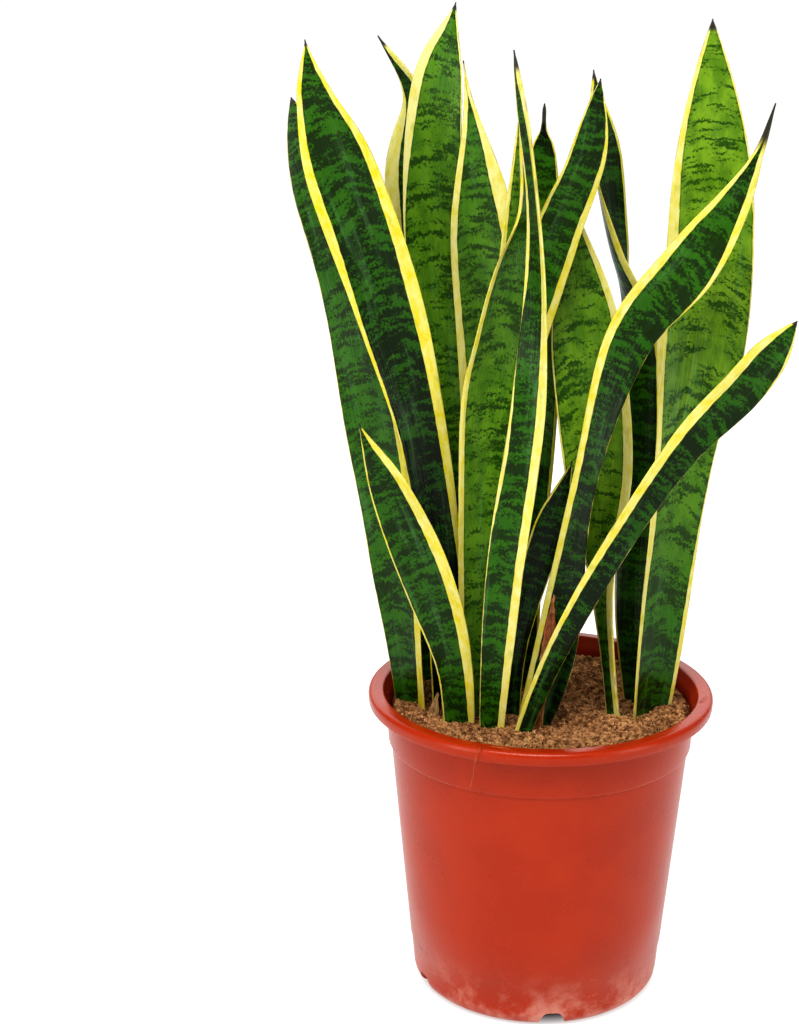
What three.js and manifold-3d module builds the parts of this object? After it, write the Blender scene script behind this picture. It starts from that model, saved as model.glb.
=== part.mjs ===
// Potted snake plant: banded, yellow-edged sword leaves standing in a terracotta-coloured nursery pot.
// Millimetres, +Z up. The origin is the middle of the pot's foot, where the pot rests on the ground,
// and the plant's front faces -Y.

import * as THREE from 'three';
import { mergeVertices } from 'three/addons/utils/BufferGeometryUtils.js';
import Module from 'manifold-3d';

const wasm = await Module();
wasm.setup();

// ---------------------------------------------------------------- driving dimensions

const POT_SIDES = 56;
const POT_HEIGHT = 190;
const RIM_RADIUS = 105;          // outside of the rolled rim, a 21 cm pot
const RIM_INNER_RADIUS = 95.5;   // inside edge of the rim's flat top
const RIM_DROP = 7.6;            // height of the lip that hangs down round the rim
const RIM_THICKNESS = 2.4;
const RIM_ROUND = 2.8;           // rounding from the rim's top into the lip
const RIM_INNER_ROUND = 1.4;
const LIP_DRAFT = 0.3;           // how far the lip leans in at its lower edge
const COLLAR_RADIUS = 94.2;      // outside of the collar, just under the rim
const COLLAR_HEIGHT = 26;
const COLLAR_STEP = 1.6;         // how far the collar stands out past the wall
const WALL_TOP_RADIUS = 91;      // outside of the wall, just under the collar
const WALL_FOOT_RADIUS = 77;     // outside of the wall where the foot curve starts
const WALL_THICKNESS = 1.8;
const FOOT_CURVE_HEIGHT = 9;
const FOOT_CURVE_STEPS = 3;
const FOOT_RADIUS = 68.4;        // outside of the ring that the pot stands on
const FLOOR_HEIGHT = 10.5;       // underside of the raised floor
const PAD_RADIUS = 24;           // flat pad in the middle of the base, level with the foot ring
const PAD_SLOPE = 10;            // width of the slope between the pad and the raised floor

const NOTCHES = 5;               // drain notches cut in the foot ring
const NOTCH_TURN = 4.5;          // degrees from the front to the first notch
const NOTCH_REACH = [61, 85];    // radii between which a notch is cut
const NOTCH_ARCH = [[9, -1], [8, 1], [6.2, 7], [3.4, 9.5]];   // its right half, [x, height]
const DRAIN_HOLES = 8;
const DRAIN_HOLE_RADIUS = 4;
const DRAIN_HOLE_SIDES = 10;
const DRAIN_HOLE_CIRCLE = 50;

const SOIL_SIDES = 48;
const SOIL_LEVEL = 179;
const SOIL_RINGS = 8;
const SOIL_MIDDLE = 0.5;         // radius of the smallest ring
const SOIL_ROUGHNESS = 1.6;      // height of the gentle humps in the soil
const SOIL_REACH = 1;            // how far up the collar the soil keeps to its wall
const HUMP_SPREAD = [13, 15];    // distance that a hump takes for one radian, along x and along y
const HUMP_SHIFT = 1.3;          // radians
const RIPPLE_SPREAD = 9;         // the same for the smaller ripples between the humps
const RIPPLE_SHIFT = 0.5;
const RIPPLE_SHARE = 0.6;        // height of the ripples, as a share of the humps
const GAP = 0.3;                 // clearance between pieces that touch
const MERGE_DISTANCE = 1e-3;     // points of a piece closer than this are one point

const LEAF_FOOT = 152;           // height of the buried ends of the leaves
const BLADE_STRIPS = 4;          // strips across a blade
const BLADE_EDGE = 1.1;          // thickness of a blade at its margins
const BLADE_THICKNESS_LIMIT = 0.7;   // greatest thickness, as a share of the width there
const SECTION_CROWDING = 1.25;   // above 1, a blade's sections stand closer towards its point
const TANGENT_STEP = 0.01;       // share of the length over which a blade's direction is read
const POINT_FULLNESS = 2.2;      // how full a blade stays before it runs out to its point
const SPINE_WIDTH = 2.2;         // the dry awl at a leaf's point
const SPINE_END = 0.3;           // width of the awl's very end, as a share of its own
const SPINE_TAPER = 12;          // how fast the awl widens from its end
const WAVES = 3.3;               // waves along one margin of a leaf
const WAVE_SHIFT = 40;           // distance between leaves over which their waves shift by one
const WAVE_FULL_WIDTH = 20;      // narrower blades wave less

// How leaves and sheaths are built: sections along the blade, thickness of its midline at both
// ends, and how far its margins wave in and out.
const LEAF = { sections: 18, thickFoot: 4.6, thickTip: 2.2, wave: 1.1 };
const SHEATH = { sections: 9, thickFoot: 1, thickTip: 1, wave: 0 };

// A blade is a row of stations from its buried end to its point, each
// [x, y, z, width, turn, curl]. Turn is the way the upper face looks, in degrees: 0 to the front,
// 90 to +X, -90 to -X. Curl is half the angle that the blade's channel bends through.
// point is the share of the length over which the blade runs out to its point.
const LEAVES = {
  leaf_far_left: { point: 0.15, stations: [
    [-74, -3, LEAF_FOOT, 23, -45, 40],
    [-83, 2, 238, 33, -40, 30],
    [-92.5, 5.5, 305, 39, -33, 22],
    [-105.5, 10, 375, 35, -26, 18],
    [-121.2, 14.5, 455, 33.6, -20, 14],
    [-148, 18, 543, 36.5, -20, 10],
  ] },
  leaf_left_broad: { point: 0.2, stations: [
    [-53, -6, LEAF_FOOT, 26, 8, 40],
    [-60, -8, 250, 27, 20, 40],
    [-72, -11, 345, 31, 17, 33],
    [-93, -14, 430, 41, 5, 24],
    [-118.5, -17, 505, 41, -5, 15],
    [-133, -18, 547, 21.5, -5, 12],
    [-138, -18, 577, 8, -5, 10],
  ] },
  leaf_front_short: { point: 0.3, stations: [
    [-49, -31, LEAF_FOOT, 18, -10, 25],
    [-53, -32, 214, 22, -8, 20],
    [-68, -36, 267, 31, -8, 14],
    [-89, -42, 321, 26, -8, 10],
    [-109, -48, 367, 16, -8, 10],
  ] },
  leaf_tall_centre_left: { point: 0.23, stations: [
    [-50, 24, LEAF_FOOT, 26, 0, 35],
    [-54, 24, 268, 28, 0, 25],
    [-60, 24, 382, 36, -8, 18],
    [-66, 24, 480, 36, -15, 15],
    [-64, 24, 550, 31, -15, 15],
    [-54, 24, 595.5, 15, -15, 10],
  ] },
  leaf_back_hooked: { point: 0.3, stations: [
    [-62, 42, LEAF_FOOT, 24, 0, 30],
    [-65, 42, 286, 26, 0, 20],
    [-72, 42, 404, 28, -10, 18],
    [-78, 40, 492, 35, -20, 15],
    [-77, 38, 541, 17, -30, 20],
    [-98.5, 32, 576.5, 8, -30, 10],
  ] },
  leaf_back_centre_left: { point: 0.3, stations: [
    [-38, 8, LEAF_FOOT, 22, 0, 40],
    [-36, 11, 260, 23, 0, 30],
    [-34, 11, 368, 32, -8, 20],
    [-37, 11, 470, 40, -15, 18],
    [-50, 10, 564, 5, -15, 10],
  ] },
  leaf_behind_channelled: { point: 0.2, stations: [
    [-34, -13.5, LEAF_FOOT, 10, 0, 20],
    [-33.5, -10.5, 240, 9, 0, 15],
    [-33, -8, 330, 9, 0, 12],
    [-32, -7.3, 395, 9, 0, 12],
    [-22.6, -2.6, 452, 13, 0, 15],
    [-18.5, -0.5, 537, 6, 0, 10],
  ] },
  leaf_centre_channelled: { point: 0.25, stations: [
    [-38, -22, LEAF_FOOT, 22, 5, 40],
    [-37, -18, 258, 32, 10, 30],
    [-35, -14, 361, 38, 20, 25],
    [-30, -13, 409, 36, 28, 25],
    [-22, -13, 452, 29, 38, 30],
    [-17.5, -13, 492, 16, 75, 30],
    [-19, -16, 548, 8, 80, 20],
  ] },
  leaf_front_centre: { point: 0.3, stations: [
    [-33, -39, LEAF_FOOT, 14, 0, 50],
    [-25, -39, 272, 23, -10, 35],
    [-12, -36, 378, 21, -15, 30],
    [-9, -33, 472, 18.5, -70, 30],
    [-23.8, -28, 572, 16, -40, 15],
  ] },
  leaf_back_centre: { point: 0.06, stations: [
    [-8, 20, LEAF_FOOT, 22, 0, 35],
    [-11, 21, 240, 24, 0, 25],
    [-8.5, 22, 340, 33, 0, 20],
    [-4, 22, 440, 30, 0, 18],
    [-3.2, 23, 506, 16.5, 0, 12],
    [-2.8, 24, 525, 3.5, 0, 10],
    [-2.6, 24, 539, 2, 0, 10],
  ] },
  leaf_centre_leaning: { point: 0.22, stations: [
    [-27, -4, LEAF_FOOT, 20, 0, 35],
    [-29, -3, 256, 21, 0, 25],
    [-24, -1, 361, 26, 0, 20],
    [2, 0, 461, 27.5, 0, 20],
    [19.8, -2, 510, 22, 0, 15],
    [26.5, -4, 555, 17, 0, 10],
  ] },
  leaf_back_right_twisted: { point: 0.22, stations: [
    [61, 1, LEAF_FOOT, 14, 150, 35],
    [56, 7, 240, 27, 150, 25],
    [58, 14, 330, 28, 150, 22],
    [54.5, 19, 400, 30, 140, 30],
    [38.8, 21, 455, 33, 74, 60],
    [30, 22, 512, 27.5, 42, 35],
    [25, 23, 558, 13, 20, 15],
  ] },
  leaf_right_inner: { point: 0.3, stations: [
    [47, -22, LEAF_FOOT, 12, -50, 30],
    [37.5, -13, 242, 17, -60, 30],
    [33, 0, 324, 41, -15, 25],
    [23.5, 8, 407, 43, -8, 18],
    [13.5, 12, 485, 27, -5, 10],
  ] },
  leaf_arching_right: { point: 0.14, stations: [
    [-14.5, -31, LEAF_FOOT, 15, -10, 40],
    [6.5, -30, 222, 27, -20, 35],
    [20.5, -30, 323, 16, -25, 25],
    [42.5, -34, 410, 27, -15, 15],
    [75, -38, 455, 32.5, -5, 10],
    [98.5, -38, 491, 19.5, 0, 10],
    [111.5, -36, 518, 5.5, 0, 10],
    [119.5, -34, 544, 3, 0, 10],
  ] },
  leaf_front_right_low: { point: 0.13, stations: [
    [-22, -43, LEAF_FOOT, 8, 0, 40],
    [3.5, -46, 225, 13.5, 0, 25],
    [36, -52, 293, 16, 0, 20],
    [72.5, -60, 355, 19.5, 0, 12],
    [103.7, -68, 393, 24.5, 0, 10],
    [130, -74, 431, 17, 0, 5],
  ] },
  leaf_right_broad: { point: 0.2, stations: [
    [61, -15, LEAF_FOOT, 34, 42, 40],
    [70.5, -8, 250, 38, 30, 36],
    [81.5, -2, 345, 41, 18, 24],
    [88.7, 1, 400, 54, 6, 18],
    [92.6, 4, 475, 49.5, 0, 15],
    [89.5, 8, 587, 42, 0, 10],
  ] },
  leaf_small_inner: { point: 0.3, stations: [
    [-20, -19, LEAF_FOOT, 12, 0, 30],
    [-17.5, -20, 212, 13, 0, 20],
    [-10, -19, 253, 16, 0, 18],
    [2, -18, 296, 20, 0, 15],
    [15, -16, 337, 12, 0, 10],
  ] },
};

// Dry papery sheaths that the oldest growth has left round the leaf bases, in the same stations.
const SHEATHS = {
  sheath_brown_tall: { point: 0.4, stations: [
    [-7, -40, 166, 8, 0, 25],
    [-2, -40.5, 205, 7, 0, 20],
    [2, -40.5, 240, 7, 0, 15],
    [4, -40.5, 263, 4, 0, 10],
  ] },
  sheath_straw: { point: 0.6, stations: [
    [-66, -19, 166, 7, -20, 30],
    [-65, -19, 180, 7, -20, 25],
    [-63, -18, 193, 5, -20, 20],
  ] },
  sheath_brown_short: { point: 0.6, stations: [
    [-57, -21, 166, 7, 0, 30],
    [-58, -21, 181, 7, 0, 25],
    [-59, -20, 195, 5, 0, 20],
  ] },
};

// ---------------------------------------------------------------- solids and cuts

const radians = degrees => degrees * Math.PI / 180;
const mix = (a, b, t) => a + (b - a) * t;

function solidOf(geometry) {
  const bare = geometry.clone();
  bare.deleteAttribute('normal');
  bare.deleteAttribute('uv');
  const merged = mergeVertices(bare, MERGE_DISTANCE);
  const corners = Array.from(merged.index.array);
  const triangles = [];
  for (let i = 0; i < corners.length; i += 3) {
    const [a, b, c] = corners.slice(i, i + 3);
    if (a !== b && b !== c && c !== a) triangles.push(a, b, c);
  }
  return new wasm.Manifold(new wasm.Mesh({
    numProp: 3,
    vertProperties: new Float32Array(merged.attributes.position.array),
    triVerts: new Uint32Array(triangles),
  }));
}

function geometryOf(solid) {
  const mesh = solid.getMesh();
  const geometry = new THREE.BufferGeometry();
  geometry.setAttribute('position', new THREE.BufferAttribute(new Float32Array(mesh.vertProperties), 3));
  geometry.setIndex(new THREE.BufferAttribute(new Uint32Array(mesh.triVerts), 1));
  geometry.computeVertexNormals();
  return geometry;
}

// A closed skin over rings of points that run from one end of a piece to the other. All rings have
// the same number of points, and the two end rings are closed by the triangles that cap gives.
function skin(rings, cap) {
  const count = rings[0].length;
  const points = rings.flat().flatMap(p => [p.x, p.y, p.z]);
  const triangles = [];
  for (let i = 0; i < rings.length - 1; i += 1) {
    for (let j = 0; j < count; j += 1) {
      const a = i * count + j;
      const b = i * count + (j + 1) % count;
      triangles.push(a, b, b + count, a, b + count, a + count);
    }
  }
  const lastRing = (rings.length - 1) * count;
  for (const [a, b, c] of cap) {
    triangles.push(a, c, b, lastRing + a, lastRing + b, lastRing + c);
  }
  const geometry = new THREE.BufferGeometry();
  geometry.setAttribute('position', new THREE.Float32BufferAttribute(points, 3));
  geometry.setIndex(triangles);
  geometry.computeVertexNormals();
  return geometry;
}

// ---------------------------------------------------------------- pot

// Outside radius of the wall at a height between the foot curve and the collar.
function wallRadius(z) {
  const top = POT_HEIGHT - RIM_DROP - COLLAR_HEIGHT;
  return mix(WALL_FOOT_RADIUS, WALL_TOP_RADIUS, (z - FOOT_CURVE_HEIGHT) / (top - FOOT_CURVE_HEIGHT));
}

// The rounded foot of the wall, from the ring it stands on up to the wall. Inset moves the curve in
// and lifts its lower end, for the inside of the moulding.
function footCurve(inset) {
  return Array.from({ length: FOOT_CURVE_STEPS + 1 }, (_, i) => {
    const angle = Math.PI / 2 * i / FOOT_CURVE_STEPS;
    const radius = mix(FOOT_RADIUS, WALL_FOOT_RADIUS, Math.sin(angle)) - inset;
    return [radius, mix(FOOT_CURVE_HEIGHT, inset, Math.cos(angle))];
  });
}

// Shift of the pad's and the raised floor's corners on a face that lies a thickness above the other.
const padShift = thickness => -thickness * Math.tan(Math.atan2(FLOOR_HEIGHT, PAD_SLOPE) / 2);

function potProfile() {
  const t = WALL_THICKNESS;
  const lipFoot = POT_HEIGHT - RIM_DROP;
  const collarFoot = lipFoot - COLLAR_HEIGHT;
  const floorTop = FLOOR_HEIGHT + t;
  const roundMiddle = RIM_ROUND * (1 - Math.SQRT1_2);
  return [
    [0, 0],
    [PAD_RADIUS, 0],
    [PAD_RADIUS + PAD_SLOPE, FLOOR_HEIGHT],
    [wallRadius(FLOOR_HEIGHT) - t, FLOOR_HEIGHT],
    ...footCurve(t).reverse(),
    [FOOT_RADIUS - t, 0],
    ...footCurve(0),
    [WALL_TOP_RADIUS, collarFoot],
    [WALL_TOP_RADIUS + COLLAR_STEP, collarFoot + COLLAR_STEP],
    [COLLAR_RADIUS, lipFoot],
    [COLLAR_RADIUS, POT_HEIGHT - RIM_THICKNESS],
    [RIM_RADIUS - t, POT_HEIGHT - RIM_THICKNESS],
    [RIM_RADIUS - t, lipFoot],
    [RIM_RADIUS - LIP_DRAFT, lipFoot],
    [RIM_RADIUS, POT_HEIGHT - RIM_ROUND],
    [RIM_RADIUS - roundMiddle, POT_HEIGHT - roundMiddle],
    [RIM_RADIUS - RIM_ROUND, POT_HEIGHT],
    [RIM_INNER_RADIUS + RIM_INNER_ROUND, POT_HEIGHT],
    [RIM_INNER_RADIUS, POT_HEIGHT - RIM_INNER_ROUND],
    [COLLAR_RADIUS - t, lipFoot],
    [WALL_TOP_RADIUS + COLLAR_STEP - t, collarFoot + COLLAR_STEP - t],
    [WALL_TOP_RADIUS - t, collarFoot - t],
    [wallRadius(floorTop) - t, floorTop],
    [PAD_RADIUS + PAD_SLOPE + padShift(t), floorTop],
    [PAD_RADIUS + padShift(t), t],
    [0, t],
  ].map(([r, z]) => new THREE.Vector2(r, z));
}

function notchCutter(index) {
  const right = NOTCH_ARCH.map(([x, z]) => new THREE.Vector2(x, z));
  const left = right.map(p => new THREE.Vector2(-p.x, p.y)).reverse();
  const [inner, outer] = NOTCH_REACH;
  const arch = new THREE.Shape([...right, ...left]);
  const cutter = new THREE.ExtrudeGeometry(arch, { depth: outer - inner, bevelEnabled: false });
  cutter.rotateX(Math.PI / 2);
  cutter.translate(0, -inner, 0);
  cutter.rotateZ(radians(NOTCH_TURN + index * 360 / NOTCHES));
  return solidOf(cutter);
}

function drainHoleCutter(index) {
  const length = 4 * WALL_THICKNESS;
  const hole = new THREE.CylinderGeometry(DRAIN_HOLE_RADIUS, DRAIN_HOLE_RADIUS, length, DRAIN_HOLE_SIDES);
  hole.rotateX(Math.PI / 2);
  const angle = radians(index * 360 / DRAIN_HOLES);
  const height = FLOOR_HEIGHT + WALL_THICKNESS / 2;
  hole.translate(DRAIN_HOLE_CIRCLE * Math.sin(angle), DRAIN_HOLE_CIRCLE * Math.cos(angle), height);
  return solidOf(hole);
}

function potGeometry() {
  const shell = new THREE.LatheGeometry(potProfile(), POT_SIDES);
  shell.rotateX(Math.PI / 2);
  let pot = solidOf(shell);
  for (let i = 0; i < NOTCHES; i += 1) pot = pot.subtract(notchCutter(i));
  for (let i = 0; i < DRAIN_HOLES; i += 1) pot = pot.subtract(drainHoleCutter(i));
  return geometryOf(pot);
}

// ---------------------------------------------------------------- blades

// Smooth curve through one column of a blade's stations.
function along(stations, column, u) {
  const last = stations.length - 1;
  const s = Math.max(0, u) * last;
  const i = Math.min(Math.floor(s), last - 1);
  const t = s - i;
  const at = k => {
    if (k < 0) return 2 * stations[0][column] - stations[1][column];
    if (k > last) return 2 * stations[last][column] - stations[last - 1][column];
    return stations[k][column];
  };
  const [a, b, c, d] = [at(i - 1), at(i), at(i + 1), at(i + 2)];
  return b + 0.5 * t * (c - a + t * (2 * a - 5 * b + 4 * c - d + t * (3 * (b - c) + d - a)));
}

const spinePoint = (stations, u) =>
  new THREE.Vector3(along(stations, 0, u), along(stations, 1, u), along(stations, 2, u));

// Width of a blade at u: the stations' own width, run out to the spine over the last stretch.
function bladeWidth({ point, stations }, u) {
  const left = Math.min(1, (1 - u) / point);
  const blade = along(stations, 3, u) * (1 - (1 - left) ** POINT_FULLNESS);
  return Math.max(blade, SPINE_WIDTH * Math.min(1, SPINE_END + SPINE_TAPER * (1 - u)));
}

// How far a margin stands in or out of the blade at u, for v from -1 at the left to 1 at the right.
function waveAt({ stations }, build, width, u, v) {
  const height = build.wave * Math.sqrt(Math.sin(Math.PI * u)) * Math.min(1, width / WAVE_FULL_WIDTH);
  const turns = WAVES * u + stations[1][0] / WAVE_SHIFT;
  return height * v * Math.abs(v) * Math.sin(2 * Math.PI * turns);
}

// One ring of points round a blade at u: the upper face from left to right, then back underneath.
function bladeRing(blade, build, u, grow) {
  const { stations } = blade;
  const middle = spinePoint(stations, u);
  const behind = spinePoint(stations, Math.max(0, u - TANGENT_STEP));
  const tangent = spinePoint(stations, Math.min(1, u + TANGENT_STEP)).sub(behind).normalize();
  const turn = radians(along(stations, 4, u));
  const facing = new THREE.Vector3(Math.sin(turn), -Math.cos(turn), 0);
  facing.addScaledVector(tangent, -facing.dot(tangent)).normalize();
  const across = new THREE.Vector3().crossVectors(tangent, facing);
  const curl = radians(along(stations, 5, u));
  const width = bladeWidth(blade, u);
  const radius = width / 2 / curl;
  const thickness = Math.min(mix(build.thickFoot, build.thickTip, u), BLADE_THICKNESS_LIMIT * width);
  const edge = Math.min(BLADE_EDGE, thickness);
  const upper = [];
  const under = [];
  for (let k = 0; k <= BLADE_STRIPS; k += 1) {
    const v = 2 * k / BLADE_STRIPS - 1;
    const bend = curl * v;
    const half = mix(thickness, edge, v * v) / 2 + grow;
    const centre = middle.clone()
      .addScaledVector(across, (radius + grow) * Math.sin(bend))
      .addScaledVector(facing, radius * (1 - Math.cos(bend)) + waveAt(blade, build, width, u, v));
    const normal = facing.clone().multiplyScalar(Math.cos(bend)).addScaledVector(across, -Math.sin(bend));
    upper.push(centre.clone().addScaledVector(normal, half));
    under.push(centre.clone().addScaledVector(normal, -half));
  }
  return [...upper, ...under.reverse()];
}

function bladeCap() {
  const last = 2 * BLADE_STRIPS + 1;
  const cap = [];
  for (let k = 0; k < BLADE_STRIPS; k += 1) {
    cap.push([k, k + 1, last - k - 1], [k, last - k - 1, last - k]);
  }
  return cap;
}

// Places of the sections along a blade, closer together towards its point.
const sectionPlaces = sections =>
  Array.from({ length: sections }, (_, i) => 1 - (1 - i / (sections - 1)) ** SECTION_CROWDING);

function bladeGeometry(blade, build) {
  const rings = sectionPlaces(build.sections).map(u => bladeRing(blade, build, u, 0));
  return skin(rings, bladeCap());
}

// The plain hole in the soil for a blade's buried end, a little larger all round.
function bladeHole(blade, build) {
  const clear = SOIL_LEVEL + 3 * SOIL_ROUGHNESS;
  const places = sectionPlaces(build.sections);
  const above = places.findIndex(u => along(blade.stations, 2, u) > clear);
  const rings = places.slice(0, above + 1).map(u => bladeRing(blade, build, u, GAP));
  const down = new THREE.Vector3(0, 0, -GAP);
  rings[0] = rings[0].map(p => p.clone().add(down));
  return solidOf(skin(rings, bladeCap()));
}

// ---------------------------------------------------------------- soil

function soilHeight(x, y) {
  const humps = Math.sin(x / HUMP_SPREAD[0] + HUMP_SHIFT) * Math.cos(y / HUMP_SPREAD[1]);
  const ripples = RIPPLE_SHARE * Math.sin((x + y) / RIPPLE_SPREAD + RIPPLE_SHIFT);
  return SOIL_LEVEL + SOIL_ROUGHNESS * (humps + ripples);
}

function soilGeometry() {
  const lift = WALL_THICKNESS + GAP;
  const floorTop = FLOOR_HEIGHT + lift;
  const inset = WALL_THICKNESS + 2 * GAP;
  const collarFoot = POT_HEIGHT - RIM_DROP - COLLAR_HEIGHT;
  const topRadius = WALL_TOP_RADIUS + COLLAR_STEP - inset;
  const ring = (radius, height) => Array.from({ length: SOIL_SIDES }, (_, j) => {
    const angle = 2 * Math.PI * j / SOIL_SIDES;
    const x = radius * Math.cos(angle);
    const y = radius * Math.sin(angle);
    return new THREE.Vector3(x, y, height ?? soilHeight(x, y));
  });
  const rings = [
    ring(SOIL_MIDDLE, lift),
    ring(PAD_RADIUS + padShift(lift), lift),
    ring(PAD_RADIUS + PAD_SLOPE + padShift(lift), floorTop),
    ring(wallRadius(floorTop) - inset, floorTop),
    ring(WALL_TOP_RADIUS - inset, collarFoot - WALL_THICKNESS),
    ring(topRadius, collarFoot + SOIL_REACH),
  ];
  for (let k = SOIL_RINGS; k > 0; k -= 1) rings.push(ring(topRadius * k / SOIL_RINGS));
  rings.push(ring(SOIL_MIDDLE));
  const cap = [];
  for (let j = 1; j < SOIL_SIDES - 1; j += 1) cap.push([0, j, j + 1]);
  let soil = solidOf(skin(rings, cap));
  for (const blade of Object.values(LEAVES)) soil = soil.subtract(bladeHole(blade, LEAF));
  for (const blade of Object.values(SHEATHS)) soil = soil.subtract(bladeHole(blade, SHEATH));
  return geometryOf(soil);
}

// ---------------------------------------------------------------- the plant, put together

const plant = new THREE.Group();

function place(name, geometry, color, roughness) {
  const material = new THREE.MeshStandardMaterial({ color, roughness, metalness: 0 });
  const mesh = new THREE.Mesh(geometry, material);
  mesh.name = name;
  plant.add(mesh);
}

place('pot', potGeometry(), '#c13a1e', 0.35);
place('soil', soilGeometry(), '#785032', 0.95);
for (const [name, blade] of Object.entries(LEAVES)) {
  place(name, bladeGeometry(blade, LEAF), '#3f7a22', 0.4);
}
for (const [name, blade] of Object.entries(SHEATHS)) {
  place(name, bladeGeometry(blade, SHEATH), '#9a6a42', 0.85);
}

export default plant;
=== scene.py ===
"""Potted snake plant: banded, yellow-edged sword leaves in a terracotta-coloured nursery pot.

Metres, +Z up; the pot stands on the ground at the origin and the plant's front faces -Y. The
plant is dressed in the order in which it is put together: pot, soil, leaves, sheaths, roots.
"""
import math

import bmesh
import bpy
import numpy as np
from mathutils import Matrix, Vector, noise


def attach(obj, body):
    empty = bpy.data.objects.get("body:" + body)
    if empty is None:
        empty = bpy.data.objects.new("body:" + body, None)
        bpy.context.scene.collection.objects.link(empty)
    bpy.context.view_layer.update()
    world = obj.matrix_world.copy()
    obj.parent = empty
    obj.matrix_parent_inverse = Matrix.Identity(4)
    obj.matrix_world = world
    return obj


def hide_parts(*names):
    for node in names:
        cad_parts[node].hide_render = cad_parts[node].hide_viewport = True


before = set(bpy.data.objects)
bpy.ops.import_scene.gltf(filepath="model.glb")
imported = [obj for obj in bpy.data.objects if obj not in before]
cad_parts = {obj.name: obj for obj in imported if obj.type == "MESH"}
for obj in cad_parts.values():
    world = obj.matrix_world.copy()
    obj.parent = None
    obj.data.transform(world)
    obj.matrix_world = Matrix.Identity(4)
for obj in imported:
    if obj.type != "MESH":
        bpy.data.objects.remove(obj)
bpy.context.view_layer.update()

# ---------------------------------------------------------------- the pot
# A round nursery pot, one thin moulding in terracotta-coloured polypropylene: rolled rim with a
# hanging lip, collar, tapered wall with a low stacking ledge, and a foot ring with drain notches
# under a raised floor. The plastic is satin, a little speckled, and dusty near the ground.

MM = 0.001
POT_SIDES = 144
POT_HEIGHT = 190.0
RIM_RADIUS = 105.0
LIP_FOOT = 182.4
COLLAR_FOOT = 156.4
WALL = 1.8
WALL_FOOT_RADIUS = 77.0
WALL_SPREAD = 14.0
LEDGE_HEIGHT = 27.0
LEDGE_DEPTH = 0.5
FLOOR_HEIGHT = 10.5
FLOOR_RADIUS = 73.5
FOOT_TOP = 9.0
PAD_RADIUS = 24.0
PAD_SLOPE = 10.0
NOTCH_COUNT = 5
NOTCH_TURN = 4.5
NOTCH_OUTLINE = [(9, -1), (8, 1), (7.3, 4.2), (6.2, 7), (4.8, 8.8), (3, 9.5)]
NOTCH_START = 85.0
NOTCH_REACH = 24.0
DRAIN_HOLES = 8
DRAIN_HOLE_CIRCLE = 50.0
DRAIN_HOLE_RADIUS = 4.0
DRAIN_HOLE_SIDES = 24
DRAIN_PLUG_HEIGHT = 8.0
DRAIN_PLUG_BELOW = 3.0
SHARP_ANGLE = 40.0
POT_DEEP = (166, 47, 1)
POT_LIGHT = (172, 52, 2)
POT_SPECK = (190, 90, 50)
POT_DUST = (222, 176, 160)
FILM_HEIGHTS = (0.042, 0.004)
MARK_HEIGHTS = (0.036, 0.02)
POT_UNEVENNESS = 0.0009


def quarter(start, end, bulge_first, steps):
    """Points of a quarter round to end; it leaves start along r if bulge_first is "r"."""
    points = []
    for i in range(1, steps + 1):
        a = math.pi / 2 * i / steps
        first, second = math.sin(a), 1 - math.cos(a)
        share_r, share_z = (first, second) if bulge_first == "r" else (second, first)
        points.append((start[0] + (end[0] - start[0]) * share_r,
                       start[1] + (end[1] - start[1]) * share_z))
    return points


def wall_radius(z):
    """Outside radius of the tapered wall at a height in mm."""
    return WALL_FOOT_RADIUS + WALL_SPREAD * (z - FOOT_TOP) / (COLLAR_FOOT - FOOT_TOP)


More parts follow.
